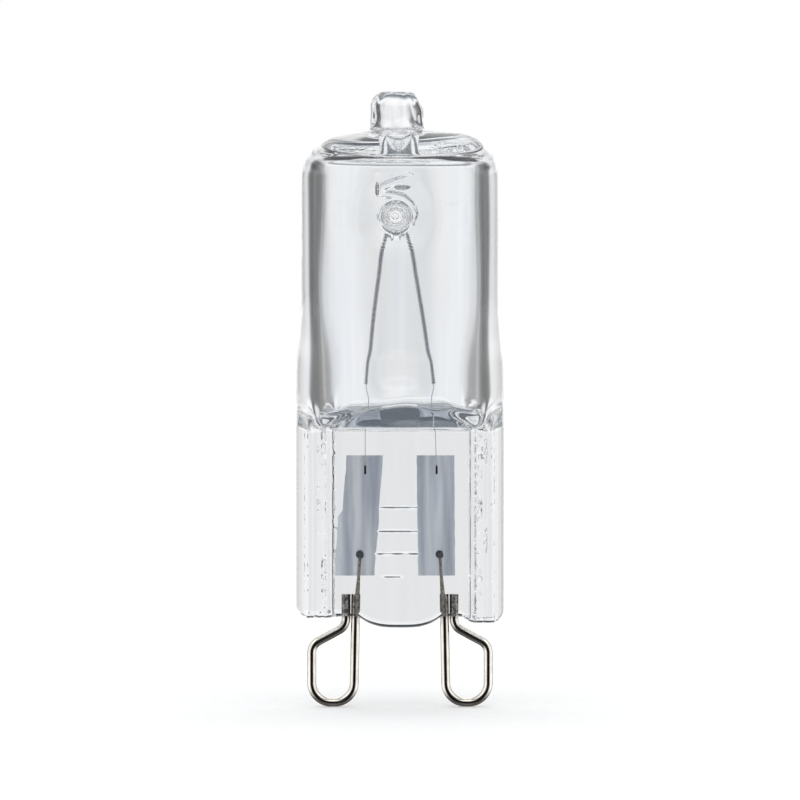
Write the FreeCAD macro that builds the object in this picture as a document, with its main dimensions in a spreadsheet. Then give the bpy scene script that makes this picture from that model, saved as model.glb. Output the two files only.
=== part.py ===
import FreeCAD, Part
import math
import os
import re
import Sketcher
from FreeCAD import Rotation, Vector

# Halogen capsule bulb with a two-loop push-in base, in millimetres.
# The origin is midway between the bottoms of the two contact loops. +Z runs up the quartz tube
# to the sealed exhaust tip, X runs from loop to loop, and -Y is the front of the flat pinch.

doc = FreeCAD.newDocument("halogen_capsule_bulb")
dims = doc.addObject("Spreadsheet::Sheet", "Dims")

DIMENSIONS = [
    ("loop_pitch", 9.0, "middle of one contact loop to the middle of the other"),
    ("loop_width", 2.82, "leg to leg of one loop, at the wire's middle"),
    ("wire_diameter", 0.6, "loop wire"),
    ("loop_bend", 1.3, "bend at the bottom of a loop, at the wire's middle"),
    ("loop_drop", 6.05, "bottom of a loop to where its wire enters the glass"),
    ("knee_drop", 1.9, "upper corner of the outer leg, below the glass"),
    ("neck_drop", 0.65, "corner where the outer leg turns up again, below the glass"),
    ("knee_bend", 0.9, "bend at both of those corners"),
    ("leg_lean", 0.14, "how far the inner leg leans to the middle on its way up"),
    ("leg_gap", 0.06, "glass between the two legs of a loop, inside the pinch"),
    ("stub_depth", 1.55, "length of both wire ends inside the glass"),
    ("pin_diameter", 0.3, "molybdenum pin from the loop to the foil"),
    ("pin_reach", 2.85, "end of the loop wire to the end of the pin"),
    ("pin_offset", 0.1, "pin's foot to the middle of the wire end that it is welded to"),
    ("pin_lean", 0.2, "how far the pin leans to the middle on its way up"),
    ("pin_bite", 0.03, "flat pressed on the pin where it is welded to the foil"),
    ("foil_width", 2.45, "sealing foil"),
    ("foil_length", 8.05, "sealing foil"),
    ("foil_thickness", 0.04, "sealing foil"),
    ("foil_rise", 2.78, "lower edge of the foils above the wire's entry"),
    ("left_foil_x", 2.55, "middle of the left foil's top edge to the bulb's middle"),
    ("left_foil_lean", 0.54, "sideways lean of the left foil over its length"),
    ("right_foil_x", 2.37, "middle of the right foil's top edge to the bulb's middle"),
    ("right_foil_lean", 0.08, "sideways lean of the right foil over its length"),
    ("pinch_width", 13.9, "pinch over its two beads"),
    ("pinch_thickness", 5.0, "pinch over its beads"),
    ("pinch_edge", 2.0, "rounding of the beads' outer corners"),
    ("pinch_height", 12.45, "wire's entry to the foot of the bulb's shoulder"),
    ("recess_width", 10.8, "pressed panel between the beads, at the beads' faces"),
    ("recess_depth", 1.1, "pressed panel below the beads' faces"),
    ("recess_slope", 40.0, "slope of the panel's walls, in degrees"),
    ("recess_corner", 1.3, "upper corners of the panel"),
    ("bead_drop", 0.3, "lower ends of the beads below the wire's entry"),
    ("bead_inset", 2.5, "width of a bead's lower end"),
    ("tongue_width", 5.2, "glass tongue between the wires"),
    ("tongue_drop", 0.75, "tongue below the wire's entry"),
    ("tongue_corner", 0.7, "lower corners of the tongue"),
    ("notch_corner", 0.25, "roundings where the wires enter"),
    ("rib_count", 4, "fine press marks across the panel"),
    ("rib_pitch", 1.55, "mark to mark"),
    ("rib_length", 2.5, "press mark"),
    ("rib_width", 0.12, "press mark"),
    ("rib_height", 0.05, "press mark"),
    ("rib_rise", 2.75, "lowest mark above the wire's entry"),
    ("tube_diameter", 13.2, "quartz tube"),
    ("tube_wall", 1.25, "quartz tube"),
    ("shoulder_radius", 3.0, "rounding from the tube into the pinch"),
    ("root_radius", 0.7, "hollow rounding at the top of the pinch"),
    ("shoulder_reach", 0.12, "how far outside the tube's side the shoulder's rounding starts"),
    ("gusset_height", 5.5, "length over which the beads fade into the tube"),
    ("gusset_thickness", 2.0, "thickness of a bead where it fades out"),
    ("gusset_inset", 0.1, "depth inside the tube's side where a bead fades out"),
    ("tube_height", 18.8, "shoulder to the edge of the crown"),
    ("crown_rise", 0.65, "rise of the crown from its edge to the tip's foot"),
    ("crown_radius", 3.0, "rounding from the tube into the crown"),
    ("crown_thickness", 1.3, "glass over the bulb's ceiling, at the crown's edge"),
    ("tip_diameter", 3.75, "sealed exhaust tip"),
    ("tip_height", 2.6, "tip above the crown"),
    ("tip_bevel", 0.5, "slope round the tip's top"),
    ("chip_across", 0.9, "chipped corner of the tip, along the top"),
    ("chip_down", 1.1, "chipped corner of the tip, down the side"),
    ("ceiling_bevel", 1.1, "slope round the bulb's inner top corner"),
    ("floor_bevel", 1.1, "slope round the bulb's inner bottom corner"),
    ("floor_rise", 0.9, "bulb's inner floor above the top of the pinch"),
    ("floor_width", 2.0, "flat of the floor, front to back"),
    ("funnel_diameter", 1.6, "remains of the exhaust hole, at the ceiling"),
    ("funnel_top", 0.4, "remains of the exhaust hole, at its end"),
    ("funnel_depth", 0.9, "remains of the exhaust hole"),
    ("post_height", 14.4, "middle of the dimple post above the top of the pinch"),
    ("post_offset", 0.27, "post to the left of the bulb's middle"),
    ("post_diameter", 1.1, "waist of the dimple post"),
    ("post_waist", 2.0, "length of the post's waist"),
    ("post_flare", 6.0, "diameter of the post where it meets the tube's inside"),
    ("flare_radius", 2.5, "rounding from the waist into the flare"),
    ("dimple_mouth", 4.4, "pressed dimple at the tube's outside"),
    ("dimple_bottom", 0.7, "pressed dimple at its bottom"),
    ("dimple_depth", 3.6, "pressed dimple"),
    ("coil_diameter", 0.32, "coiled tungsten filament"),
    ("coil_rise", 2.25, "lower ends of the coil above the bulb's floor"),
    ("left_coil_x", 2.32, "lower end of the left leg to the bulb's middle"),
    ("right_coil_x", 2.25, "lower end of the right leg to the bulb's middle"),
    ("coil_gap", 0.02, "coil to the post that carries it"),
    ("tail_diameter", 0.1, "plain ends of the filament wire"),
    ("tail_overlap", 1.25, "length of a plain end on its foil"),
    ("tail_bite", 0.01, "flat pressed on a plain end where it is welded to the foil"),
    ("left_tail_x", 2.33, "weld of the left plain end to the bulb's middle"),
    ("right_tail_x", 2.45, "weld of the right plain end to the bulb's middle"),
    ("spare", 1.0, "how far a cutting outline runs past the glass that it cuts"),
]
for line, (alias, value, note) in enumerate(DIMENSIONS, 1):
    dims.set(f"A{line}", alias)
    dims.set(f"B{line}", str(value))
    dims.setAlias(f"B{line}", alias)
    dims.set(f"C{line}", note)
doc.recompute()
ALIASES = {alias for alias, value, note in DIMENSIONS}

# Levels above the loops' bottoms, written from the sheet's values.
ENTRY = "loop_drop"
STUB_TOP = f"({ENTRY} + stub_depth)"
PIN_TOP = f"({STUB_TOP} + pin_reach)"
FOIL_BOTTOM = f"({ENTRY} + foil_rise)"
FOIL_TOP = f"({FOIL_BOTTOM} + foil_length)"
TONGUE_BOTTOM = f"({ENTRY} - tongue_drop)"
PINCH_TOP = f"({ENTRY} + pinch_height)"
LEDGE = f"({PINCH_TOP} + root_radius)"
SHOULDER_TOP = f"({LEDGE} + shoulder_radius)"
GUSSET_TOP = f"({SHOULDER_TOP} + gusset_height)"
CROWN_EDGE = f"({LEDGE} + tube_height)"
TIP_FOOT = f"({CROWN_EDGE} + crown_rise)"
TIP_TOP = f"({TIP_FOOT} + tip_height)"
FLOOR = f"({PINCH_TOP} + floor_rise)"
CEILING = f"({CROWN_EDGE} - crown_thickness)"
POST_LEVEL = f"({PINCH_TOP} + post_height)"
COIL_BOTTOM = f"({FLOOR} + coil_rise)"
TAIL_BOTTOM = f"({FOIL_TOP} - tail_overlap)"

# Half widths and depths that several pieces share.
TUBE = "(tube_diameter / 2)"
BORE = "(tube_diameter / 2 - tube_wall)"
PINCH_FACE = "(pinch_thickness / 2)"
PANEL_FACE = "(pinch_thickness / 2 - recess_depth)"
FOIL_FRONT = "(pin_diameter / 2 - pin_bite)"
COIL_PLANE = f"({FOIL_FRONT} - tail_diameter / 2 + tail_bite)"
ARCH = "(post_diameter / 2 + coil_gap + coil_diameter / 2)"
LEG_INNER = "(loop_pitch / 2 - loop_width / 2)"
LEG_OUTER = "(loop_pitch / 2 + loop_width / 2)"
LEG_TOP = f"({LEG_INNER} - leg_lean)"
RETURN_LEG = f"({LEG_TOP} + wire_diameter + leg_gap)"


def number(expression):
    return float(dims.evalExpression(expression))


def bind(item, target, expression):
    named = re.sub(r"[a-z_]+", lambda word: f"Dims.{word[0]}" if word[0] in ALIASES else word[0],
                   expression)
    item.setExpression(target, named)


def origin_plane(body, role):
    return [item for item in body.Origin.OriginFeatures if item.Role == role][0]


def new_body(name):
    body = doc.addObject("PartDesign::Body", name)
    body.Label = name
    return body


def new_sketch(body, name, role, across="0", up="0", out="0"):
    # A sketch on one of the body's own planes, moved in that plane and along its normal.
    sketch = body.newObject("Sketcher::SketchObject", name)
    sketch.AttachmentSupport = [(origin_plane(body, role), "")]
    sketch.MapMode = "FlatFace"
    for axis, expression in zip("xyz", (across, up, out)):
        bind(sketch, f"AttachmentOffset.Base.{axis}", expression)
    return sketch


def pin_point(sketch, item, end, across, up):
    # Holds one point of the sketch at a place written from the sheet.
    for kind, axis, expression in (("DistanceX", -2, across), ("DistanceY", -1, up)):
        value = number(expression)
        if expression == "0":
            sketch.addConstraint(Sketcher.Constraint("PointOnObject", item, end, axis))
        elif value < 0:
            held = sketch.addConstraint(Sketcher.Constraint(kind, item, end, -1, 1, -value))
            bind(sketch, f"Constraints[{held}]", f"-({expression})")
        else:
            held = sketch.addConstraint(Sketcher.Constraint(kind, -1, 1, item, end, value))
            bind(sketch, f"Constraints[{held}]", expression)


def draw(sketch, corners, closed=True):
    # A line through corners (across, up) or rounded corners (across, up, radius).
    count = len(corners)
    places = [Vector(number(c[0]), number(c[1]), 0) for c in corners]
    arrive, leave, arcs = list(places), list(places), {}
    for index, corner in enumerate(corners):
        if len(corner) < 3:
            continue
        here = places[index]
        back = (places[index - 1] - here).normalize()
        ahead = (places[(index + 1) % count] - here).normalize()
        half = back.getAngle(ahead) / 2
        radius = number(corner[2])
        arrive[index] = here + back * (radius / math.tan(half))
        leave[index] = here + ahead * (radius / math.tan(half))
        middle = here + (back + ahead).normalize() * (radius / math.sin(half))
        left_turn = back.cross(ahead).z < 0
        first, last = (arrive[index], leave[index]) if left_turn else (leave[index], arrive[index])
        start = math.atan2(first.y - middle.y, first.x - middle.x)
        end = math.atan2(last.y - middle.y, last.x - middle.x)
        circle = Part.Circle(middle, Vector(0, 0, 1), radius)
        arc = sketch.addGeometry(Part.ArcOfCircle(circle, start, end), False)
        point = sketch.addGeometry(Part.Point(here), True)
        arcs[index] = (arc, point, 1 if left_turn else 2, 2 if left_turn else 1)
    runs = count if closed else count - 1
    lines = [sketch.addGeometry(Part.LineSegment(leave[i], arrive[(i + 1) % count]), False)
             for i in range(runs)]
    for index, corner in enumerate(corners):
        before = lines[index - 1] if closed or index > 0 else None
        after = lines[index] if index < runs else None
        if index in arcs:
            arc, point, arc_in, arc_out = arcs[index]
            pin_point(sketch, point, 1, corner[0], corner[1])
            sketch.addConstraint(Sketcher.Constraint("Tangent", before, 2, arc, arc_in))
            sketch.addConstraint(Sketcher.Constraint("Tangent", arc, arc_out, after, 1))
            sketch.addConstraint(Sketcher.Constraint("PointOnObject", point, 1, before))
            sketch.addConstraint(Sketcher.Constraint("PointOnObject", point, 1, after))
            held = sketch.addConstraint(Sketcher.Constraint("Radius", arc, number(corner[2])))
            bind(sketch, f"Constraints[{held}]", corner[2])
        elif before is None:
            pin_point(sketch, after, 1, corner[0], corner[1])
        else:
            pin_point(sketch, before, 2, corner[0], corner[1])
            if after is not None:
                sketch.addConstraint(Sketcher.Constraint("Coincident", before, 2, after, 1))


def draw_circle(sketch, diameter):
    circle = Part.Circle(Vector(0, 0, 0), Vector(0, 0, 1), number(diameter) / 2)
    ring = sketch.addGeometry(circle, False)
    sketch.addConstraint(Sketcher.Constraint("Coincident", ring, 3, -1, 1))
    held = sketch.addConstraint(Sketcher.Constraint("Diameter", ring, number(diameter)))
    bind(sketch, f"Constraints[{held}]", diameter)


def mirrored(expression):
    return f"-({expression})"


def both_ways(half_outline):
    # A symmetric outline from its right half, which is listed from the middle outwards.
    left_half = [(mirrored(corner[0]),) + tuple(corner[1:]) for corner in half_outline]
    return left_half[::-1] + list(half_outline)


def rounded_rectangle(width, depth, radius):
    return [(mirrored(width), mirrored(depth), radius), (width, mirrored(depth), radius),
            (width, depth, radius), (mirrored(width), depth, radius)]


def turn(body, kind, name, sketch):
    feature = body.newObject(f"PartDesign::{kind}", name)
    feature.Profile = sketch
    feature.ReferenceAxis = (sketch, ["V_Axis"])
    feature.Angle = 360
    return feature


def cut_through(body, name, sketch):
    pocket = body.newObject("PartDesign::Pocket", name)
    pocket.Profile = sketch
    pocket.Type = "ThroughAll"
    pocket.SideType = "Symmetric"
    return pocket


def front_to_back(body, name, feature):
    # Repeats a feature of the front on the back.
    doc.recompute()
    copy = body.newObject("PartDesign::Mirrored", name)
    copy.Originals = [feature]
    copy.MirrorPlane = (origin_plane(body, "XZ_Plane"), [""])
    body.Tip = copy
    return copy


def face_along(sketch, across, up):
    # Turns a level sketch to face along a run in the XZ plane.
    angle = f"atan(({across}) / ({up}))"
    offset = sketch.AttachmentOffset
    offset.Rotation = Rotation(Vector(0, 1, 0), number(angle))
    sketch.AttachmentOffset = offset
    bind(sketch, "AttachmentOffset.Rotation.Angle", angle)


def straight_rod(body, name, diameter, depth, foot, top):
    # A round rod from a foot (x, z) to a top (x, z).
    across = f"({top[0]}) - ({foot[0]})"
    up = f"({top[1]}) - ({foot[1]})"
    ring = new_sketch(body, f"{name}_section", "XY_Plane", foot[0], depth, foot[1])
    face_along(ring, across, up)
    draw_circle(ring, diameter)
    rod = body.newObject("PartDesign::Pad", name)
    rod.Profile = ring
    bind(rod, "Length", f"sqrt(({across})^2 + ({up})^2)")
    return rod


def bent_rod(body, name, diameter, path, start, across, up):
    # A round rod along a path sketch, from its start (x, y, z) in the direction (across, up).
    ring = new_sketch(body, f"{name}_section", "XY_Plane", *start)
    face_along(ring, across, up)
    draw_circle(ring, diameter)
    rod = body.newObject("PartDesign::AdditivePipe", name)
    rod.Profile = ring
    rod.Spine = (path, [f"Edge{n}" for n in range(1, len(path.Shape.Edges) + 1)])
    rod.Mode = "Frenet"
    return rod


def cut(name, base, tool):
    result = doc.addObject("Part::Cut", name)
    result.Base = base
    result.Tool = tool
    result.Label = name
    return result


def make_envelope_outside():
    body = new_body("envelope_outside")

    outline = new_sketch(body, "bulb_outline", "XZ_Plane")
    draw(outline, [("0", PINCH_TOP), (TUBE, PINCH_TOP), (TUBE, CROWN_EDGE, "crown_radius"),
                   ("tip_diameter / 2", TIP_FOOT),
                   ("tip_diameter / 2", f"{TIP_TOP} - tip_bevel"),
                   ("tip_diameter / 2 - tip_bevel", TIP_TOP), ("0", TIP_TOP)])
    turn(body, "Revolution", "blown_tube", outline)

    # The jaws squeeze the hot tube flat: an S-shaped shoulder, the same across the whole width.
    jaw = new_sketch(body, "jaw_outline", "YZ_Plane")
    reach = f"-({TUBE} + spare)"
    start = f"-({TUBE} + shoulder_reach)"
    draw(jaw, [(start, f"{SHOULDER_TOP} + spare"), (reach, f"{SHOULDER_TOP} + spare"),
               (reach, f"{PINCH_TOP} - spare"), (mirrored(PINCH_FACE), f"{PINCH_TOP} - spare"),
               (mirrored(PINCH_FACE), LEDGE, "root_radius"), (start, LEDGE, "shoulder_radius")])
    front_to_back(body, "back_shoulder", cut_through(body, "front_shoulder", jaw))

    half = "pinch_width / 2"
    section = new_sketch(body, "pinch_section", "XY_Plane", out=TONGUE_BOTTOM)
    draw(section, rounded_rectangle(half, PINCH_FACE, "pinch_edge"))
    pinch = body.newObject("PartDesign::Pad", "pinch")
    pinch.Profile = section
    bind(pinch, "Length", f"{SHOULDER_TOP} - {TONGUE_BOTTOM}")

    # Above the pinch its rounded beads fade into the side of the tube.
    wide = new_sketch(body, "gusset_foot", "XY_Plane", out=SHOULDER_TOP)
    draw(wide, rounded_rectangle(half, PINCH_FACE, "pinch_edge"))
    narrow = new_sketch(body, "gusset_end", "XY_Plane", out=GUSSET_TOP)
    draw(narrow, rounded_rectangle(f"{TUBE} - gusset_inset", "gusset_thickness / 2",
                                   "pinch_edge * gusset_thickness / pinch_thickness"))
    gusset = body.newObject("PartDesign::AdditiveLoft", "gusset")
    gusset.Profile = wide
    gusset.Sections = [narrow]
    gusset.Ruled = True

    panel = new_sketch(body, "panel_outline", "XZ_Plane", out=PINCH_FACE)
    draw(panel, both_ways([("recess_width / 2", PINCH_TOP, "recess_corner"),
                           ("recess_width / 2", f"{TONGUE_BOTTOM} - recess_depth - spare")]))
    recess = body.newObject("PartDesign::Pocket", "front_panel")
    recess.Profile = panel
    bind(recess, "Length", "recess_depth")
    bind(recess, "TaperAngle", "-recess_slope")
    front_to_back(body, "back_panel", recess)

    # The lower edge: two beads, two wire notches and the tongue between them.
    edge = new_sketch(body, "lower_edge", "XZ_Plane")
    bead_side = "pinch_width / 2 - bead_inset"
    draw(edge, both_ways([
        ("tongue_width / 2", TONGUE_BOTTOM, "tongue_corner"),
        ("tongue_width / 2", ENTRY, "notch_corner"),
        (bead_side, ENTRY, "notch_corner"),
        (bead_side, f"{ENTRY} - bead_drop"),
        ("pinch_width / 2 + spare", f"{ENTRY} - bead_drop"),
        ("pinch_width / 2 + spare", f"{TONGUE_BOTTOM} - spare")]))
    cut_through(body, "lower_edge_cut", edge)

    # A dimple is pressed into the hot tube from the front and from the back.
    cone = new_sketch(body, "dimple_outline", "XY_Plane", across="-post_offset", out=POST_LEVEL)
    widening = "((dimple_mouth - dimple_bottom) / 2 / dimple_depth)"
    bottom = f"-({TUBE} - dimple_depth)"
    draw(cone, [("0", bottom), ("dimple_bottom / 2", bottom),
                (f"dimple_mouth / 2 + spare * {widening}", f"-({TUBE} + spare)"),
                ("0", f"-({TUBE} + spare)")])
    front_to_back(body, "back_dimple", turn(body, "Groove", "front_dimple", cone))

    chip = new_sketch(body, "chip_outline", "XZ_Plane")
    side = "tip_diameter / 2"
    slope = "(chip_down / chip_across)"
    draw(chip, [(f"{side} - chip_across - spare / {slope}", f"{TIP_TOP} + spare"),
                (f"{side} + spare", f"{TIP_TOP} - chip_down - spare * {slope}"),
                (f"{side} + spare", f"{TIP_TOP} + spare")])
    cut_through(body, "tip_chip", chip)

    mark = new_sketch(body, "press_mark_outline", "XZ_Plane", out=PANEL_FACE)
    low = f"{ENTRY} + rib_rise"
    draw(mark, [("-rib_length / 2", f"{low} - rib_width / 2"),
                ("rib_length / 2", f"{low} - rib_width / 2"),
                ("rib_length / 2", f"{low} + rib_width / 2"),
                ("-rib_length / 2", f"{low} + rib_width / 2")])
    ridge = body.newObject("PartDesign::Pad", "press_mark")
    ridge.Profile = mark
    bind(ridge, "Length", "rib_height")
    doc.recompute()
    marks = body.newObject("PartDesign::LinearPattern", "press_marks")
    marks.Originals = [ridge]
    marks.Direction = (mark, ["V_Axis"])
    bind(marks, "Length", "rib_pitch * (rib_count - 1)")
    bind(marks, "Occurrences", "rib_count")
    body.Tip = marks
    return body


def make_bulb_space():
    # The gas space inside the bulb, with the dimple post left standing in it.
    body = new_body("bulb_space")

    outline = new_sketch(body, "space_outline", "XZ_Plane")
    draw(outline, [("0", FLOOR), (f"{BORE} - floor_bevel", FLOOR),
                   (BORE, f"{FLOOR} + floor_bevel"), (BORE, f"{CEILING} - ceiling_bevel"),
                   (f"{BORE} - ceiling_bevel", CEILING), ("funnel_diameter / 2", CEILING),
                   ("funnel_top / 2", f"{CEILING} + funnel_depth"),
                   ("0", f"{CEILING} + funnel_depth")])
    turn(body, "Revolution", "bore", outline)

    jaw = new_sketch(body, "floor_outline", "YZ_Plane")
    reach = f"-({BORE} + spare)"
    start = f"-({BORE} + shoulder_reach)"
    inner_ledge = f"{LEDGE} + tube_wall"
    draw(jaw, [(start, f"{SHOULDER_TOP} + spare"), (reach, f"{SHOULDER_TOP} + spare"),
               (reach, f"{FLOOR} - spare"), ("-floor_width / 2", f"{FLOOR} - spare"),
               ("-floor_width / 2", FLOOR), (start, inner_ledge, "shoulder_radius - tube_wall")])
    front_to_back(body, "back_slope", cut_through(body, "front_slope", jaw))

    post = new_sketch(body, "post_outline", "XY_Plane", across="-post_offset", out=POST_LEVEL)
    draw(post, [("0", f"-({BORE} + spare)"), ("post_flare / 2", f"-({BORE} + spare)"),
                ("post_flare / 2", mirrored(BORE)),
                ("post_diameter / 2", "-post_waist / 2", "flare_radius"),
                ("post_diameter / 2", "post_waist / 2", "flare_radius"),
                ("post_flare / 2", BORE),
                ("post_flare / 2", f"{BORE} + spare"), ("0", f"{BORE} + spare")])
    turn(body, "Groove", "post", post)
    return body


def make_foil(name, top_x, bottom_x):
    body = new_body(name)
    sheet = new_sketch(body, f"{name}_outline", "XZ_Plane", out=f"-({FOIL_FRONT})")
    draw(sheet, [(f"{bottom_x} - foil_width / 2", FOIL_BOTTOM),
                 (f"{bottom_x} + foil_width / 2", FOIL_BOTTOM),
                 (f"{top_x} + foil_width / 2", FOIL_TOP),
                 (f"{top_x} - foil_width / 2", FOIL_TOP)])
    foil = body.newObject("PartDesign::Pad", f"{name}_pad")
    foil.Profile = sheet
    foil.Reversed = True
    bind(foil, "Length", "foil_thickness")
    return body


def make_contact_loop(name, side):
    body = new_body(name)
    path = new_sketch(body, f"{name}_path", "XZ_Plane")
    bottom = "wire_diameter / 2"
    draw(path, [(f"{side} * {LEG_TOP}", STUB_TOP),
                (f"{side} * {LEG_INNER}", bottom, "loop_bend"),
                (f"{side} * {LEG_OUTER}", bottom, "loop_bend"),
                (f"{side} * {LEG_OUTER}", f"{ENTRY} - knee_drop", "knee_bend"),
                (f"{side} * {RETURN_LEG}", f"{ENTRY} - neck_drop", "knee_bend"),
                (f"{side} * {RETURN_LEG}", STUB_TOP)], closed=False)
    doc.recompute()
    bent_rod(body, f"{name}_wire", "wire_diameter", path, (f"{side} * {LEG_TOP}", "0", STUB_TOP),
             f"{side} * (-leg_lean)", f"{STUB_TOP} - {bottom}")
    return body


def make_lead_pin(name, side, foil, loop):
    body = new_body(f"{name}_round")
    straight_rod(body, f"{name}_rod", "pin_diameter", "0",
                 (f"{side} * ({LEG_TOP} - pin_offset)", f"{STUB_TOP} - pin_bite"),
                 (f"{side} * ({LEG_TOP} - pin_offset - pin_lean)", PIN_TOP))
    return cut(name, cut(f"{name}_on_loop", body, loop), foil)


def make_filament(name, foils):
    body = new_body(f"{name}_round")
    path = new_sketch(body, f"{name}_path", "XZ_Plane", out=mirrored(COIL_PLANE))

    # Two straight legs, tangent to an arch over the dimple post.
    centre = Vector(-number("post_offset"), number(POST_LEVEL), 0)
    radius = number(ARCH)
    touch = []
    for side, spread in ((-1, "left_coil_x"), (1, "right_coil_x")):
        foot = Vector(side * number(spread), number(COIL_BOTTOM), 0)
        away = foot - centre
        angle = math.atan2(away.y, away.x) + side * math.acos(radius / away.Length)
        touch.append((foot, angle, centre + Vector(math.cos(angle), math.sin(angle), 0) * radius))
    (left_foot, left_angle, left_touch), (right_foot, right_angle, right_touch) = touch
    left = path.addGeometry(Part.LineSegment(left_foot, left_touch), False)
    circle = Part.Circle(centre, Vector(0, 0, 1), radius)
    arch = path.addGeometry(Part.ArcOfCircle(circle, right_angle, left_angle), False)
    right = path.addGeometry(Part.LineSegment(right_touch, right_foot), False)
    pin_point(path, left, 1, "-left_coil_x", COIL_BOTTOM)
    pin_point(path, arch, 3, "-post_offset", POST_LEVEL)
    pin_point(path, right, 2, "right_coil_x", COIL_BOTTOM)
    path.addConstraint(Sketcher.Constraint("Tangent", left, 2, arch, 2))
    path.addConstraint(Sketcher.Constraint("Tangent", arch, 1, right, 1))
    held = path.addConstraint(Sketcher.Constraint("Radius", arch, radius))
    bind(path, f"Constraints[{held}]", ARCH)
    doc.recompute()
    drop, reach = f"({POST_LEVEL} - {COIL_BOTTOM})", "(left_coil_x - post_offset)"
    swing = f"(atan({reach} / {drop}) - asin({ARCH} / sqrt({reach}^2 + {drop}^2)))"
    bent_rod(body, f"{name}_coil", "coil_diameter", path,
             ("-left_coil_x", COIL_PLANE, COIL_BOTTOM), f"tan({swing})", "1")

    # The plain ends start inside the coil and run down onto the foils.
    for word, side, coil_x, tail_x in (("left", -1, "left_coil_x", "left_tail_x"),
                                       ("right", 1, "right_coil_x", "right_tail_x")):
        straight_rod(body, f"{name}_{word}_tail", "tail_diameter", COIL_PLANE,
                     (f"{side} * {tail_x}", TAIL_BOTTOM),
                     (f"{side} * {coil_x}", f"{COIL_BOTTOM} + coil_diameter / 2"))
    left_cut = cut(f"{name}_left_weld", body, foils[0])
    return cut(name, left_cut, foils[1])


left_foil = make_foil("left_foil", "-left_foil_x", "-(left_foil_x + left_foil_lean)")
right_foil = make_foil("right_foil", "right_foil_x", "(right_foil_x + right_foil_lean)")
left_loop = make_contact_loop("left_contact_loop", -1)
right_loop = make_contact_loop("right_contact_loop", 1)
left_pin = make_lead_pin("left_lead_pin", -1, left_foil, left_loop)
right_pin = make_lead_pin("right_lead_pin", 1, right_foil, right_loop)
filament = make_filament("filament", (left_foil, right_foil))
metal = [left_foil, right_foil, left_loop, right_loop, left_pin, right_pin, filament]

# The quartz is fused round the metal, so each piece leaves its own shape in the glass.
glass = cut("hollow_envelope", make_envelope_outside(), make_bulb_space())
for item in metal[:-1]:
    glass = cut(f"glass_round_{item.Label}", glass, item)
glass = cut("quartz_envelope", glass, filament)
doc.recompute()

for item in doc.Objects:
    if "Invalid" in item.State or "Error" in item.State:
        raise RuntimeError(f"{item.Label} did not build: {item.State}")
    if item.isDerivedFrom("Sketcher::SketchObject") and not item.FullyConstrained:
        raise RuntimeError(f"{item.Label} is not fully constrained")

os.makedirs("parts", exist_ok=True)
for item in metal + [glass]:
    shape = item.Shape
    if shape.isNull() or not shape.isValid() or len(shape.Solids) != 1:
        raise RuntimeError(f"{item.Label} is not one valid solid")
    shape.exportStep(f"parts/{item.Label}.step")
    box = shape.optimalBoundingBox()
    print(f"{item.Label}: {shape.Volume:.3f} mm3, z {box.ZMin:.2f} to {box.ZMax:.2f},"
          f" x {box.XMin:.2f} to {box.XMax:.2f}, y {box.YMin:.2f} to {box.YMax:.2f}")
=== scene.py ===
import bpy
import bmesh
import math
from mathutils import Matrix, Vector, noise


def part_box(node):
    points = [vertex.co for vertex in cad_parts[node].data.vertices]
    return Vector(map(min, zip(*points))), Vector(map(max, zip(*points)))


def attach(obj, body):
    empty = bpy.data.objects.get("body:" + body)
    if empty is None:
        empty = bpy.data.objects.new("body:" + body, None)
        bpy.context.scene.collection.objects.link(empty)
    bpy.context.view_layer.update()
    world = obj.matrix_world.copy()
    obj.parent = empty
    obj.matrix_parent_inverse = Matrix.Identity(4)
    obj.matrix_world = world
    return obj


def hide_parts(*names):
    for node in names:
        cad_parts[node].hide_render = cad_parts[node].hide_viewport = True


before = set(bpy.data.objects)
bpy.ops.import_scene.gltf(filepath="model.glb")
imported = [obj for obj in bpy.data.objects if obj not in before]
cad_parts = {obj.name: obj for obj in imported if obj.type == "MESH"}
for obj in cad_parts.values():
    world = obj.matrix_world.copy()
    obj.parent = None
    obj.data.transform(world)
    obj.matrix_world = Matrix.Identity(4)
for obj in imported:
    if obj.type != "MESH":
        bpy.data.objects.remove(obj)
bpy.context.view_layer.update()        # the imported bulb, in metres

# Shapes are drawn in millimetres and brought to metres when a piece is finished.
# Front is -Y, left is -X, and the contact loops stand on z = 0.
mm = 0.001
sharpAngle = 50          # edges that turn by more degrees than this stay crisp
shellWeld = 1e-4         # points of a shell closer than this become one
wireWeld = 1e-5          # the same for wires


# Small helpers


def boxInMm(node):
    low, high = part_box(node)
    return low / mm, high / mm


def clamp(value, low=0.0, high=1.0):
    return min(max(value, low), high)


def lerp(start, end, share):
    return start + (end - start) * share


def smoothStep(start, end, value):
    t = clamp((value - start) / (end - start))
    return t * t * (3 - 2 * t)


def softMin(a, b, blend):
    h = max(blend - abs(a - b), 0.0) / blend
    return min(a, b) - h * h * blend / 4


def quarterRound(value, radius):
    # 0 at the edge, 1 from the radius inwards, along a quarter of a circle
    t = 1 - clamp(value / radius)
    return math.sqrt(1 - t * t)


def noiseAt(x, y, z):
    return noise.noise(Vector((x, y, z)))


def linePoints(start, end, count):
    a, b = Vector(start), Vector(end)
    return [a.lerp(b, i / count) for i in range(count)]


def arcPoints(centre, radius, startDeg, endDeg, count):
    turns = [math.radians(startDeg + (endDeg - startDeg) * i / count) for i in range(count)]
    return [Vector((centre[0] + radius * math.cos(t), centre[1] + radius * math.sin(t))) for t in turns]


def stepsBetween(start, end, size):
    count = max(1, round(abs(end - start) / size))
    return [start + (end - start) * i / count for i in range(count)]


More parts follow.
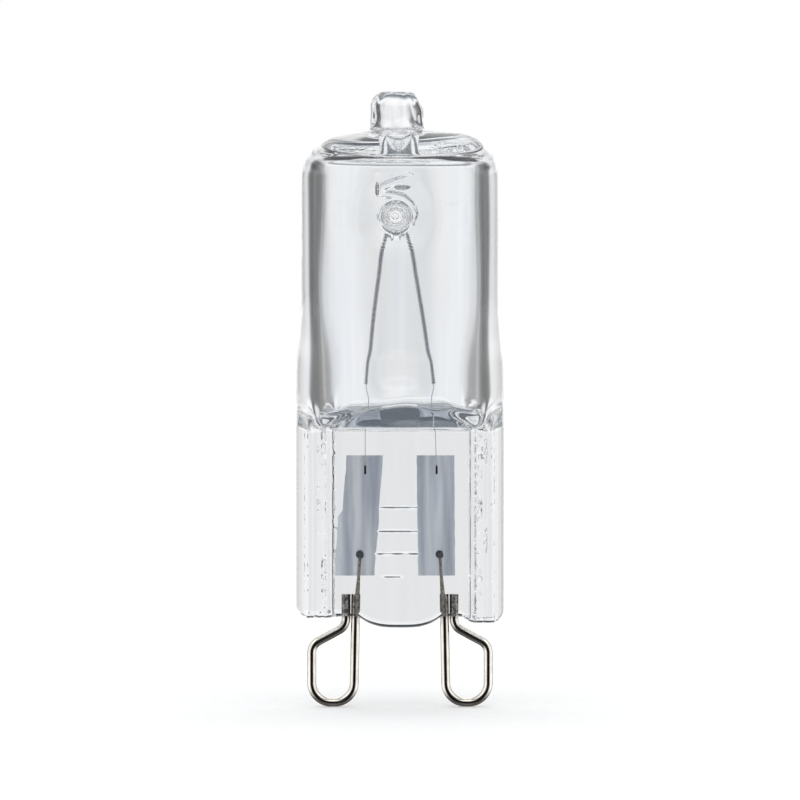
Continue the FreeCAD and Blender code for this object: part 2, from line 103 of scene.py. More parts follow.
def spunShell(profile, steps):
    # A closed shell of revolution from (radius, z) points that start and end on the axis.
    bm = bmesh.new()
    verts = [bm.verts.new((p[0], 0, p[1])) for p in profile]
    edges = [bm.edges.new(pair) for pair in zip(verts, verts[1:])]
    bmesh.ops.spin(bm, geom=verts + edges, cent=(0, 0, 0), axis=(0, 0, 1), dvec=(0, 0, 0),
                   angle=2 * math.pi, steps=steps, use_merge=True, use_duplicate=False)
    bmesh.ops.remove_doubles(bm, verts=bm.verts, dist=shellWeld)
    return bm


def joined(first, second):
    spare = bpy.data.meshes.new("spare")
    second.to_mesh(spare)
    second.free()
    first.from_mesh(spare)
    bpy.data.meshes.remove(spare)
    return first


def finishPiece(bm, name, material, node):
    bmesh.ops.transform(bm, matrix=Matrix.Scale(mm, 4), verts=bm.verts)
    mesh = bpy.data.meshes.new(name)
    bm.to_mesh(mesh)
    bm.free()
    mesh.polygons.foreach_set("use_smooth", [True] * len(mesh.polygons))
    mesh.set_sharp_from_angle(angle=math.radians(sharpAngle))
    piece = bpy.data.objects.new(name, mesh)
    bpy.context.scene.collection.objects.link(piece)
    mesh.materials.append(material)
    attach(piece, "root")
    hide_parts(node)
    print("piece", name, len(mesh.polygons), "faces")


# Shader nodes


def toLinear(hexCode):
    # an sRGB hex code as linear light
    parts = [int(hexCode[i:i + 2], 16) / 255 for i in (1, 3, 5)]
    return [c / 12.92 if c <= 0.04045 else ((c + 0.055) / 1.055) ** 2.4 for c in parts] + [1.0]


def addNode(tree, kind, settings=None, inputs=None, links=None):
    node = tree.nodes.new(kind)
    for key, value in (settings or {}).items():
        setattr(node, key, value)
    for key, value in (inputs or {}).items():
        node.inputs[key].default_value = value
    for key, socket in (links or {}).items():
        tree.links.new(socket, node.inputs[key])
    return node


def noiseNode(tree, place, sizeInMm, detail):
    return addNode(tree, "ShaderNodeTexNoise", inputs={"Scale": 1 / (sizeInMm * mm), "Detail": detail},
                   links={"Vector": place}).outputs["Fac"]


def streakNode(tree, place, sizeInMm, lengthInMm, detail):
    # noise that is drawn out along Z
    long = addNode(tree, "ShaderNodeMapping", inputs={"Scale": (1, 1, sizeInMm / lengthInMm)},
                   links={"Vector": place})
    return noiseNode(tree, long.outputs["Vector"], sizeInMm, detail)


def rangeNode(tree, value, start, end, low=0.0, high=1.0):
    limits = {"From Min": start, "From Max": end, "To Min": low, "To Max": high}
    return addNode(tree, "ShaderNodeMapRange", inputs=limits, links={"Value": value}).outputs["Result"]


def rampNode(tree, factor, stops):
    node = addNode(tree, "ShaderNodeValToRGB", links={"Fac": factor})
    ramp = node.color_ramp
    while len(ramp.elements) < len(stops):
        ramp.elements.new(0.5)
    for element, (place, colour) in zip(ramp.elements, stops):
        element.position = place
        element.color = colour
    return node.outputs["Color"]


def shadeNode(tree, factor, span, first, second):
    # turns one colour into another over a span of the factor
    return rampNode(tree, factor, [(span[0], toLinear(first)), (span[1], toLinear(second))])


def bumpNode(tree, pattern, heightInMm):
    return addNode(tree, "ShaderNodeBump", inputs={"Strength": 1.0, "Distance": heightInMm * mm},
                   links={"Height": pattern}).outputs["Normal"]


def mathNode(tree, operation, *values):
    return addNode(tree, "ShaderNodeMath", settings={"operation": operation},
                   links=dict(enumerate(values))).outputs["Value"]


def mixNode(tree, factor, first, second, blend="MIX"):
    # sockets 0, 6 and 7 are the factor and the two colours, each linked or set to a fixed value
    node = addNode(tree, "ShaderNodeMix", settings={"data_type": "RGBA", "blend_type": blend})
    for index, value in ((0, factor), (6, first), (7, second)):
        if isinstance(value, bpy.types.NodeSocket):
            tree.links.new(value, node.inputs[index])
        else:
            node.inputs[index].default_value = value
    return node.outputs[2]


# Materials

usualSpan = (0.3, 0.7)   # where most values of a noise pattern lie


def newMaterial(name):
    material = bpy.data.materials.new(name)
    material.use_nodes = True
    tree = material.node_tree
    tree.nodes.clear()
    shader = addNode(tree, "ShaderNodeBsdfPrincipled")
    addNode(tree, "ShaderNodeOutputMaterial", links={"Surface": shader.outputs["BSDF"]})
    coords = addNode(tree, "ShaderNodeTexCoord")
    return material, tree, shader, coords.outputs["Object"]


def setMetal(tree, shader, colour, pattern, roughLow, roughHigh):
    # a metal whose gloss follows a pattern
    shader.inputs["Metallic"].default_value = 1.0
    tree.links.new(colour, shader.inputs["Base Color"])
    tree.links.new(rangeNode(tree, pattern, *usualSpan, roughLow, roughHigh), shader.inputs["Roughness"])


def levelShare(tree, place, startInMm, endInMm):
    # 0 to 1 between two heights
    level = addNode(tree, "ShaderNodeSeparateXYZ", links={"Vector": place})
    return rangeNode(tree, level.outputs["Z"], startInMm * mm, endInMm * mm)


fusedQuartzSettings = dict(
    clear="#ffffff", faint="#f7fafd",      # nearly colourless, a breath of blue
    ior=1.458,
    drawLine=0.9, drawLength=18.0, drawDetail=1.0,      # faint lines along the drawn tube
    bumpHeight=0.0012,
)


def fusedQuartz(s=fusedQuartzSettings):
    # Clear fused quartz, drawn as tube, flame-worked and pressed: water clear, no grain,
    # only faint draw lines that make what lies behind waver.
    material, tree, shader, place = newMaterial("fusedQuartz")
    lines = streakNode(tree, place, s["drawLine"], s["drawLength"], s["drawDetail"])
    tint = shadeNode(tree, lines, usualSpan, s["clear"], s["faint"])
    shader.inputs["Transmission Weight"].default_value = 1.0
    shader.inputs["Roughness"].default_value = 0.0
    shader.inputs["IOR"].default_value = s["ior"]
    tree.links.new(tint, shader.inputs["Base Color"])
    tree.links.new(bumpNode(tree, lines, s["bumpHeight"]), shader.inputs["Normal"])
    return material


nickelSettings = dict(
    bright="#fbf6ee", dull="#e2dbd0", dullSpan=(0.12, 0.32),      # warm grey of nickel
    streak=0.05, streakLength=1.2, streakDetail=2.0,              # drawing marks along the wire
    blotch=0.7, blotchDetail=3.0, roughLow=0.08, roughHigh=0.17,
    bumpHeight=0.0015,
    # ends in the glass
    sealed="#a3a09d", scorched="#5c5957", mottle=0.22, mottleSpan=(0.38, 0.6), sealLow=5.9, sealHigh=6.15,
)


def nickelWire(s=nickelSettings):
    # Nickel-plated drawn wire: bright, with fine marks along its length and a gloss that varies,
    # dull and mottled at the ends that the hot glass closed over.
    material, tree, shader, place = newMaterial("nickelPlatedWire")
    streaks = streakNode(tree, place, s["streak"], s["streakLength"], s["streakDetail"])
    blotches = noiseNode(tree, place, s["blotch"], s["blotchDetail"])
    both = mathNode(tree, "MULTIPLY", streaks, blotches)
    plated = shadeNode(tree, both, s["dullSpan"], s["dull"], s["bright"])
    mottle = noiseNode(tree, place, s["mottle"], s["blotchDetail"])
    sealed = shadeNode(tree, mottle, s["mottleSpan"], s["scorched"], s["sealed"])
    inGlass = levelShare(tree, place, s["sealLow"], s["sealHigh"])
    colour = mixNode(tree, inGlass, plated, sealed)
    setMetal(tree, shader, colour, blotches, s["roughLow"], s["roughHigh"])
    tree.links.new(bumpNode(tree, streaks, s["bumpHeight"]), shader.inputs["Normal"])
    return material


foilSettings = dict(
    light="#e6ebf2", dark="#bac1cd", bandSpan=(0.32, 0.66),       # blue-grey of rolled molybdenum
    rollLine=0.55, rollLength=9.0,         # soft bands along the rolled strip
    grain=0.06, detail=2.0, roughLow=0.34, roughHigh=0.5,
    bumpHeight=0.002,
)


def molybdenumFoil(s=foilSettings):
    # Rolled molybdenum foil, etched and annealed: satin blue-grey with soft bands along the strip.
    material, tree, shader, place = newMaterial("molybdenumFoil")
    bands = streakNode(tree, place, s["rollLine"], s["rollLength"], s["detail"])
    grain = noiseNode(tree, place, s["grain"], s["detail"])
    colour = shadeNode(tree, bands, s["bandSpan"], s["dark"], s["light"])
    setMetal(tree, shader, colour, grain, s["roughLow"], s["roughHigh"])
    tree.links.new(bumpNode(tree, grain, s["bumpHeight"]), shader.inputs["Normal"])
    return material


pinSettings = dict(
    name="molybdenumPin", light="#9a948c", dark="#6b665f", markSize=0.25, roughLow=0.24, roughHigh=0.36,
    burnt="#55585c", plainLevel=9.8, burntLevel=10.1,
)
tungstenSettings = dict(
    name="drawnTungsten", light="#dcdee1", dark="#babdc1", markSize=0.2, roughLow=0.28, roughHigh=0.42,
    burnt="#2b2c2e", plainLevel=16.3, burntLevel=16.15,
)
drawnDetail, drawnSpan = 3.0, (0.35, 0.65)


def drawnMetal(s):
    # Drawn wire of a hard metal: grey and satin, with small uneven marks, burnt dark at its weld.
    material, tree, shader, place = newMaterial(s["name"])
    marks = noiseNode(tree, place, s["markSize"], drawnDetail)
    plain = shadeNode(tree, marks, drawnSpan, s["dark"], s["light"])
    atWeld = levelShare(tree, place, s["plainLevel"], s["burntLevel"])
    colour = mixNode(tree, atWeld, plain, toLinear(s["burnt"]))
    setMetal(tree, shader, colour, marks, s["roughLow"], s["roughHigh"])
    return material


quartzGlass = fusedQuartz()
nickel = nickelWire()
foilMetal = molybdenumFoil()
pinMetal = drawnMetal(pinSettings)
tungsten = drawnMetal(tungstenSettings)
print("materials ready")


# Quartz envelope: an outer and an inner shell of one glass piece

glassLow, glassHigh = boxInMm("quartz_envelope")
wallThickness = 1.25
quartz = dict(
    tubeRadius=glassHigh.y, pinchHalfWidth=glassHigh.x, tipTop=glassHigh.z, tongueBottom=glassLow.z,
    bore=glassHigh.y - wallThickness,
    # sealed tip
    tipX=-0.2, tipRadius=1.8, tipRound=1.15, tipFoot=0.15, tipSpread=3.5, tipSlack=0.01,
    tipFacet=0.12, facetTurn=2.6, facetHeight=1.6, facetRise=0.8,
    topRough=0.1, topGrain=0.4, topSeed=1.3, topDepth=1.5,
    chipX=0.74, chipSlope=1.6, chipRough=0.14, chipGrain=0.3, chipSeed=7.7,
    # crown
    crownTop=38.65, crownSlope=0.1376, crownRadius=3.0, crownTilt=0.14, rimAngle=28,
    # shoulder and pinch
    gussetTop=27.7, shoulderTop=22.0, shoulderRadius=3.2, shoulderBlend=0.35,
    ledge=18.8, ledgeDrop=0.02, fillet=0.35, filletRows=6,
    pinchHalf=2.5, beadRound=1.1, beadRise=2.4, beadDrop=0.5, beadFrom=4.9, beadFull=5.9,
    # pressed panel: its walls as (outer, inner, fall), and the pits along their edges
    recessShift=0.12, recessSteps=((6.4, 4.95, 0.22), (5.1, 4.5, 0.8)),
    creases=(5.12, 5.55, 4.53), creaseWidth=0.06, creaseFaint=0.02, creaseRough=0.55, creaseGrain=0.17,
    creasePatch=2.2, patchBlend=0.25, patchSeed=4.4, firstCrease=0.6, creaseSeeds=(5, 9, 17),
    # press marks, with (half length, middle) of the long ones and of the lowest one
    markLevels=(13.45, 11.85, 10.35, 8.8), markHalf=0.045, markHeight=0.11, markReach=4,
    markRows=(-2.2, -1.1, 0, 1.1, 2.2), markLong=(1.62, -0.1), markShort=(0.8, -0.5), markFade=0.25,
    markWander=0.03, wanderSize=0.5, wanderSeed=3.7,
    markStrength=0.85, markUneven=0.5, unevenSize=0.4, unevenSeed=1.9, unevenSlice=2,
    # lower edge
    entry=6.05, tongueHalf=2.75, tongueSquare=3.2, beadSide=4.45, sideBlend=0.5, beadBottom=5.8,
    beadSkew=0.17, beadCorner=0.9, webEdge=0.45, beadEdge=0.4, edgeBlend=1.0, evenLevel=8.2,
    crumbleLeft=0.12, crumbleRight=0.048, crumbleGrain=0.3, crumbleSeed=3.1,
    # dimples that carry the post, with the steps of their wells as (radius, half width, fall)
    postX=-0.27, postZ=32.9, gather=3.6, gatherPower=1.4, wallShare=0.8,
    dish=0.8, dishReach=3.2, dishGrowth=0.35, wellSteps=((1.05, 0.08, 0.9), (0.52, 0.06, 1.0)),
    waistRadius=0.55, waistCut=1.06, waistSnap=0.75, postSpread=3.0, innerLip=0.8,
    # pressed wrinkle above the front dimple (x, z, height)
    wrinkle=((0.3, 35.8, 0.02), (0.75, 35.62, 0.03), (0.3, 35.42, 0.04), (-0.4, 35.22, 0.06),
             (-1.15, 34.9, 0.09), (-1.35, 34.62, 0.09), (-1.05, 34.42, 0.09), (-0.4, 34.36, 0.09),
             (0.2, 34.2, 0.08), (0.68, 33.8, 0.07), (0.98, 33.1, 0.05), (0.7, 32.3, 0.02)),
    wrinkleHalf=0.22,
    # sharp grooves beside it (x, z, half length, half height, lean in degrees, depth, deepest share)
    grooves=((0.16, 34.89, 0.55, 0.17, 0, 0.34, 0.92), (-1.5, 34.76, 0.5, 0.14, 90, 0.2, 0.5),
             (-0.9, 34.2, 0.34, 0.08, -4, 0.15, 0.9)),
    # patches of finer mesh that take them (bottom, top, cuts)
    patchX=(-3.9, 2.6), patches=((33.9, 36.0, 3), (31.6, 33.9, 1)),
    # inside
    neckTop=38.5, neckWide=1.15, neckRound=0.4, neckTurn=-20, neckNarrow=0.6, neckLip=0.25,
    ceiling=36.7, ceilingRadius=0.9,
    floor=19.4, floorHalf=1.9, floorSlope=0.3, floorEnd=1.4, floorKeel=0.15, floorTilt=0.02,
    floorHump=0.05, floorHumpX=0.5, floorHumpHalf=2.2, floorWave=0.05, floorWaveSize=1.3, floorSeed=5.2,
    troughHeight=4.0, jawPlay=0.05, jawBlend=2.4, boreBlend=0.6,
    waver=0.04, waverAcross=2.2, waverAlong=7.0, waverEnd=1.0,
    # spacing of the mesh
    steps=236, innerSteps=110, columnShift=0.25, creaseSpan=(4.3, 5.9), creaseColumns=(0.42, 0.78),
    columnLevels=(21.6, 19.4), levelStep=0.33, dimpleStep=0.09, aboveDimple=1.2, belowDimple=1.5,
    innerStep=0.12, pinchStep=0.17, edgeStep=0.15, troughStep=0.16, floorStep=0.05,
    floorLow=0.9, floorRim=0.1,
)


def crownArc(q):
    # centre of the round between crown and tube, its start angle and where it starts
    slope = math.atan(q["crownSlope"])
    middle = q["tubeRadius"] - q["crownRadius"]
    touch = middle + q["crownRadius"] * math.sin(slope)
    touchZ = q["crownTop"] - q["crownSlope"] * (touch - q["tipRadius"])
    return (middle, touchZ - q["crownRadius"] * math.cos(slope)), 90 - math.degrees(slope), (touch, touchZ)


def tubeLevels(q, top, bottom, firstStep):
    # levels down the tube, closer together where the dimples are
    high, low = q["postZ"] + q["aboveDimple"], q["postZ"] - q["belowDimple"]
    levels = stepsBetween(top, high, firstStep) + stepsBetween(high, low, q["dimpleStep"])
    return levels + stepsBetween(low, bottom, q["levelStep"])


def pinchLevels(q):
    # levels down the pinch, closer together at the press marks
    marks = [level + row * q["markHalf"] for level in q["markLevels"] for row in q["markRows"]]
    plain = stepsBetween(q["ledge"] - q["fillet"], q["evenLevel"], q["pinchStep"])
    clear = [z for z in plain if all(abs(z - mark) > q["markHalf"] for mark in marks)]
    return sorted(clear + marks, reverse=True)


def outerProfile(q):
    top, tip, bend, foot = q["tipTop"], q["tipRadius"], q["tipRound"], q["tipFoot"]
    crown, crownRadius, rim = q["crownTop"], q["crownRadius"], q["rimAngle"]
    ledge, drop, fillet, rows = q["ledge"], q["ledgeDrop"], q["fillet"], q["filletRows"]
    centre, startAngle, touch = crownArc(q)
    points = linePoints((0, top), (tip - bend, top), count=10)
    points += arcPoints((tip - bend, top - bend), bend, 90, 0, count=16)
    points += linePoints((tip, top - bend), (tip, crown + foot), count=10)
    points += arcPoints((tip + foot, crown + foot), foot, 180, 262, count=5)
    points += linePoints((tip + foot, crown), touch, count=10)
    points += arcPoints(centre, crownRadius, startAngle, rim, count=11)
    points += arcPoints(centre, crownRadius, rim, 0, count=13)
    levels = tubeLevels(q, centre[1], q["gussetTop"], q["dimpleStep"])
    levels += stepsBetween(q["gussetTop"], q["shoulderTop"], q["levelStep"])
    levels += [q["shoulderTop"] - p[1] for p in arcPoints((0, 0), q["shoulderRadius"], 0, 90, count=18)]
    levels += [ledge] + [ledge - drop - (fillet - drop) * row / rows for row in range(rows)]
    levels += pinchLevels(q)
    edgeTop = q["tongueBottom"] + q["webEdge"]
    levels += stepsBetween(q["evenLevel"], edgeTop, q["edgeStep"])
    levels += [edgeTop - p[1] for p in arcPoints((0, 0), q["webEdge"], 0, 90, count=9)]
    levels += [q["tongueBottom"]]
    return points + [Vector((q["tubeRadius"], z)) for z in levels]


def closerInFront(q, turn):
    # moves the columns of a spun shell closer together at its front and back
    return turn + q["columnShift"] * math.sin(2 * turn)


def nearDimple(q, x, z, radius, wallRadius):
    return math.hypot(x - q["postX"], z - q["postZ"]) < q["gather"] and radius > wallRadius * q["wallShare"]


def gathered(q, x, z):
    # draws the mesh closer together round the dimple's axis
    across, up = x - q["postX"], z - q["postZ"]
    away = math.hypot(across, up)
    if away >= q["gather"] or away < 1e-6:
        return x, z, away
    closer = q["gather"] * (away / q["gather"]) ** q["gatherPower"]
    return q["postX"] + across * closer / away, q["postZ"] + up * closer / away, closer


def dishDepth(q, away, reach):
    return q["dish"] * max(1 - (away / reach) ** 2, 0) ** 4


def waverAt(q, x, y, z):
    # slow unevenness of drawn tube, longest along it
    across = q["waverAcross"]
    return q["waver"] * noiseAt(x / across, y / across, z / q["waverAlong"])


def roundRadius(centre, radius, z):
    # radius of a shell whose top edge is rounded, at a level
    rise = max(z - centre[1], 0)
    return centre[0] + math.sqrt(max(radius ** 2 - rise ** 2, 0))


def wrinkleRise(q, x, z):
    # height of the wrinkle over the glass, with the grooves beside it
    spot = Vector((x, z))
    nearest, height = math.inf, 0
    for first, second in zip(q["wrinkle"], q["wrinkle"][1:]):
        start, run = Vector(first[:2]), Vector(second[:2]) - Vector(first[:2])
        share = clamp((spot - start).dot(run) / run.length_squared)
        away = (spot - start - run * share).length
        if away < nearest:
            nearest, height = away, lerp(first[2], second[2], share)
    rise = height * math.exp(-(nearest / q["wrinkleHalf"]) ** 3)
    for middleX, middleZ, halfLength, halfHeight, lean, depth, deepest in q["grooves"]:
        turned = Matrix.Rotation(math.radians(-lean), 2) @ (spot - Vector((middleX, middleZ)))
        reach = math.sqrt(max(1 - (turned.x / halfLength) ** 2, 0))
        if abs(turned.y) < halfHeight * reach:
            share = (turned.y / (halfHeight * reach) + 1) / 2
            rise -= depth * reach * min(share / deepest, (1 - share) / (1 - deepest))
    return rise


def finerPatches(bm, q):
    # splits the mesh of the front between two levels, before it is shaped
    left, right = q["patchX"]
    for bottom, top, cuts in q["patches"]:
        edges = set()
        for face in bm.faces:
            middle = face.calc_center_median()
            if middle.y < 0 and left < middle.x < right and bottom < middle.z < top:
                edges.update(face.edges)
        bmesh.ops.subdivide_edges(bm, edges=list(edges), cuts=cuts, use_grid_fill=True)


def dimplePoint(q, x, y, z, centre):
    side = 1 if y >= 0 else -1
    x, z, away = gathered(q, x, z)
    radius = roundRadius(centre, q["crownRadius"], z)
    plain = math.sqrt(max(radius ** 2 - x * x, 0))
    depth = dishDepth(q, away, q["dishReach"])
    for stepRadius, half, fall in q["wellSteps"]:
        depth += fall * smoothStep(stepRadius + half, stepRadius - half, away)
    if side < 0:
        depth -= wrinkleRise(q, x, z)
    return x, side * (plain - depth), z


def tipPoint(q, x, y, z):
    # uneven sides, and a rough top that is broken off along a slope at the right
    chip = noiseAt(x / q["chipGrain"], y / q["chipGrain"], q["chipSeed"])
    broken = q["tipTop"] - q["chipSlope"] * (x - q["chipX"]) + q["chipRough"] * chip
    rough = noiseAt(x / q["topGrain"], y / q["topGrain"], q["topSeed"])
    top = q["tipTop"] - q["topRough"] + q["topRough"] * rough
    off = x - q["tipX"]
    across = math.hypot(off, y) + 1e-6
    lobes = noiseAt(q["facetTurn"] * off / across, q["facetTurn"] * y / across, z / q["facetHeight"])
    facet = 1 + q["tipFacet"] * lobes * smoothStep(q["crownTop"], q["crownTop"] + q["facetRise"], z)
    if z > q["tipTop"] - q["topDepth"]:
        z = min(z, broken, top)
    return q["tipX"] + off * facet, y * facet, z


def halfWidth(q, z):
    spread = smoothStep(q["gussetTop"], q["shoulderTop"], z)
    return lerp(q["tubeRadius"], q["pinchHalfWidth"], spread)


def jawDepth(q, z):
    # half thickness that the jaws leave at the shoulder
    radius = q["shoulderRadius"]
    down = clamp(q["shoulderTop"] - z, 0, radius)
    if down == 0:
        return q["tubeRadius"] + radius
    return q["tubeRadius"] - radius + math.sqrt(radius ** 2 - down ** 2)


def creasePits(q, off, x, z, side):
    # broken lines of small pits along the edges of the panel's walls
    rough = 0
    sideSeed, faceSeed, lineSeed = q["creaseSeeds"]
    for index, line in enumerate(q["creases"]):
        near = math.exp(-((off - line) / q["creaseWidth"]) ** 2)
        if near > q["creaseFaint"]:
            seed = math.copysign(sideSeed, x) + side * faceSeed + index * lineSeed
            patches = noiseAt(seed, z / q["creasePatch"], q["patchSeed"])
            patch = smoothStep(-q["patchBlend"], q["patchBlend"], patches)
            if index == 0:
                patch = lerp(q["firstCrease"], 1, patch)
            pit = max(noiseAt(seed, z / q["creaseGrain"], 0), 0)
            rough -= q["creaseRough"] * near * patch * pit
    return rough


def pressMarks(q, x, z):
    # fine raised lines that the jaws leave between the foils
    rise = 0
    lowest = len(q["markLevels"]) - 1
    for index, level in enumerate(q["markLevels"]):
        away = level + q["markWander"] * noiseAt(x / q["wanderSize"], index * q["wanderSeed"], 0) - z
        if abs(away) < q["markReach"] * q["markHalf"]:
            reach, middle = q["markShort"] if index == lowest else q["markLong"]
            ends = smoothStep(reach, reach - q["markFade"], abs(x - middle))
            uneven = noiseAt(x / q["unevenSize"], index * q["unevenSeed"], q["unevenSlice"])
            strength = q["markStrength"] + q["markUneven"] * uneven
            rise += q["markHeight"] * strength * ends * math.exp(-(away / q["markHalf"]) ** 2)
    return rise


def pinchDepth(q, x, z, side):
    depth = q["pinchHalf"] * quarterRound(q["pinchHalfWidth"] - abs(x), q["beadRound"])
    off = abs(x - q["recessShift"])
    for outer, inner, fall in q["recessSteps"]:
        inside = smoothStep(outer, inner, off)
        depth -= fall * inside
    up = clamp(z - q["ledge"] + q["fillet"], 0, q["fillet"])
    depth += inside * (q["fillet"] - math.sqrt(q["fillet"] ** 2 - up ** 2))
    depth += creasePits(q, off, x, z, side)
    return depth + (pressMarks(q, x, z) if side < 0 else 0)


def outerDepth(q, x, z, side):
    # half thickness of the glass, from oval tube over the shoulder to the pinch
    oval = q["tubeRadius"] * math.sqrt(max(1 - (x / halfWidth(q, z)) ** 2, 0))
    shoulder = softMin(oval, jawDepth(q, z), q["shoulderBlend"])
    outside = smoothStep(q["beadFrom"], q["beadFull"], abs(x))
    start = q["ledge"] + q["beadRise"] * outside
    end = q["ledge"] - q["ledgeDrop"] - q["beadDrop"] * outside
    pressed = smoothStep(start, end, z)
    if pressed == 0:
        return shoulder
    return lerp(shoulder, pinchDepth(q, x, z, side), pressed)


def bottomLevel(q, x):
    # lower edge of the glass: a tongue in the middle, a short level piece, then the beads
    side = abs(x)
    if side < q["tongueHalf"]:
        return lerp(q["tongueBottom"], q["entry"], (side / q["tongueHalf"]) ** q["tongueSquare"])
    crumble = q["crumbleLeft"] if x < 0 else q["crumbleRight"]
    bead = q["beadBottom"] - math.copysign(q["beadSkew"], x)
    bead += q["beadCorner"] * (1 - quarterRound(q["pinchHalfWidth"] - side, q["beadCorner"]))
    bead += crumble * noiseAt(x / q["crumbleGrain"], q["crumbleSeed"], 0)
    onBead = smoothStep(q["beadSide"] - q["sideBlend"], q["beadSide"] + q["sideBlend"], side)
    return lerp(q["entry"], bead, onBead)


def pinchColumn(q, share):
    # spreads the columns across the pinch, closest at the panel's creases
    (start, end), (first, last) = q["creaseSpan"], q["creaseColumns"]
    if share < first:
        return start * share / first
    if share < last:
        return lerp(start, end, (share - first) / (last - first))
    return lerp(end, q["pinchHalfWidth"], math.sin(math.pi / 2 * (share - last) / (1 - last)))


def pressedPoint(q, turn, z):
    # a point of the tube's lower part after pressing, from its angle round the tube
    side = 1 if turn >= 0 else -1
    share = abs(abs(turn) - math.pi / 2) / (math.pi / 2)
    sign = 1 if abs(turn) < math.pi / 2 else -1
    onTube = halfWidth(q, z) * math.cos(closerInFront(q, turn))
    x = lerp(onTube, sign * pinchColumn(q, share), smoothStep(*q["columnLevels"], z))
    bottom, even = bottomLevel(q, x), q["evenLevel"]
    if z < even:
        z = lerp(bottom, even, (z - q["tongueBottom"]) / (even - q["tongueBottom"]))
    onBead = smoothStep(q["beadSide"], q["beadSide"] + q["edgeBlend"], abs(x))
    edge = lerp(q["webEdge"], q["beadEdge"], onBead)
    depth = outerDepth(q, x, z, side) * quarterRound(z - bottom, edge)
    onEdge = abs(math.sin(turn)) < 1e-5
    return x, 0 if onEdge else side * depth, z


def shapeOuter(q):
    bm = spunShell(outerProfile(q), q["steps"])
    finerPatches(bm, q)
    centre = crownArc(q)[0]
    for vert in bm.verts:
        x, y, z = vert.co
        radius, turn = math.hypot(x, y), math.atan2(y, x)
        if z <= q["gussetTop"]:
            vert.co = pressedPoint(q, turn, z)
            continue
        column = closerInFront(q, turn)
        x, y = radius * math.cos(column), radius * math.sin(column)
        if nearDimple(q, x, z, radius, q["tubeRadius"]):
            x, y, z = dimplePoint(q, x, y, z, centre)
        if z > centre[1]:
            z += q["crownTilt"] * x / q["tubeRadius"] * smoothStep(centre[1], q["crownTop"], z)
            x += q["tipX"] * smoothStep(q["tipSpread"], q["tipRadius"], radius)
        if radius <= q["tipRadius"] + q["tipSlack"] and z > q["crownTop"]:
            x, y, z = tipPoint(q, x, y, z)
        vert.co = x, y, z
    bmesh.ops.remove_doubles(bm, verts=bm.verts, dist=shellWeld)
    bmesh.ops.recalc_face_normals(bm, faces=bm.faces)
    return bm


def innerProfile(q):
    bore, ceiling, corner = q["bore"], q["ceiling"], q["ceilingRadius"]
    top, bend, narrow, lip = q["neckTop"], q["neckRound"], q["neckNarrow"], q["neckLip"]
    floor, rim, low = q["floor"], q["floorRim"], q["floorLow"]
    bulge = (q["neckWide"] - bend, top - bend)
    points = linePoints((0, top), (bulge[0], top), count=5)
    points += arcPoints(bulge, bend, 90, q["neckTurn"], count=9)
    lowest = arcPoints(bulge, bend, q["neckTurn"], 0, count=1)[0]
    points += linePoints(lowest, (narrow, ceiling + lip), count=10)
    points += arcPoints((narrow + lip, ceiling + lip), lip, 180, 270, count=6)
    points += linePoints((narrow + lip, ceiling), (bore - corner, ceiling), count=14)
    points += arcPoints((bore - corner, ceiling - corner), corner, 90, 0, count=14)
    levels = tubeLevels(q, ceiling - corner, floor + q["troughHeight"], q["innerStep"])
    rises = stepsBetween(q["troughHeight"], low, q["troughStep"]) + stepsBetween(low, rim, q["floorStep"])
    levels += [floor + rise for rise in rises]
    levels += [floor + rim * (1 - p[1]) for p in arcPoints((0, 0), 1, 0, 90, count=6)] + [floor]
    return points + [Vector((bore, z)) for z in levels]


def floorLevel(q, x):
    hump = math.exp(-((x - q["floorHumpX"]) / q["floorHumpHalf"]) ** 2)
    level = q["floor"] + q["floorHump"] * hump + q["floorTilt"] * x
    level += q["floorWave"] * noiseAt(x / q["floorWaveSize"], q["floorSeed"], 0)
    return level + q["floorEnd"] * (1 - quarterRound(q["bore"] - abs(x), q["floorEnd"]))


def troughPoint(q, x, y, z, top):
    # the lower end of the space inside, narrowed to a trough
    side = 1 if y >= 0 else -1
    bore, bottom = q["bore"], floorLevel(q, x)
    z = lerp(bottom, top, (z - q["floor"]) / (top - q["floor"]))
    jaw = softMin(q["floorHalf"] + (z - bottom) / q["floorSlope"], bore + q["jawPlay"], q["jawBlend"])
    depth = softMin(math.sqrt(max(bore ** 2 - x * x, 0)), jaw, q["boreBlend"])
    depth *= quarterRound(z - bottom, q["floorKeel"])
    return x, side * max(depth, 0), z


def postPoint(q, x, y, z, centre):
    # the inner wall drawn in to the post, and whether the point lies within the post's waist
    side = 1 if y >= 0 else -1
    x, z, away = gathered(q, x, z)
    cut = away / q["waistRadius"]
    if cut > q["waistCut"]:
        plain = math.sqrt(max(roundRadius(centre, q["ceilingRadius"], z) ** 2 - x * x, 0))
        plain -= dishDepth(q, away, q["dishReach"] + q["dishGrowth"])
        depth = softMin(plain, q["postSpread"] * math.sqrt(cut * cut - 1), q["innerLip"])
        return x, side * depth, z, False
    if cut > q["waistSnap"]:
        x = q["postX"] + (x - q["postX"]) / cut
        z = q["postZ"] + (z - q["postZ"]) / cut
    return x, 0, z, True


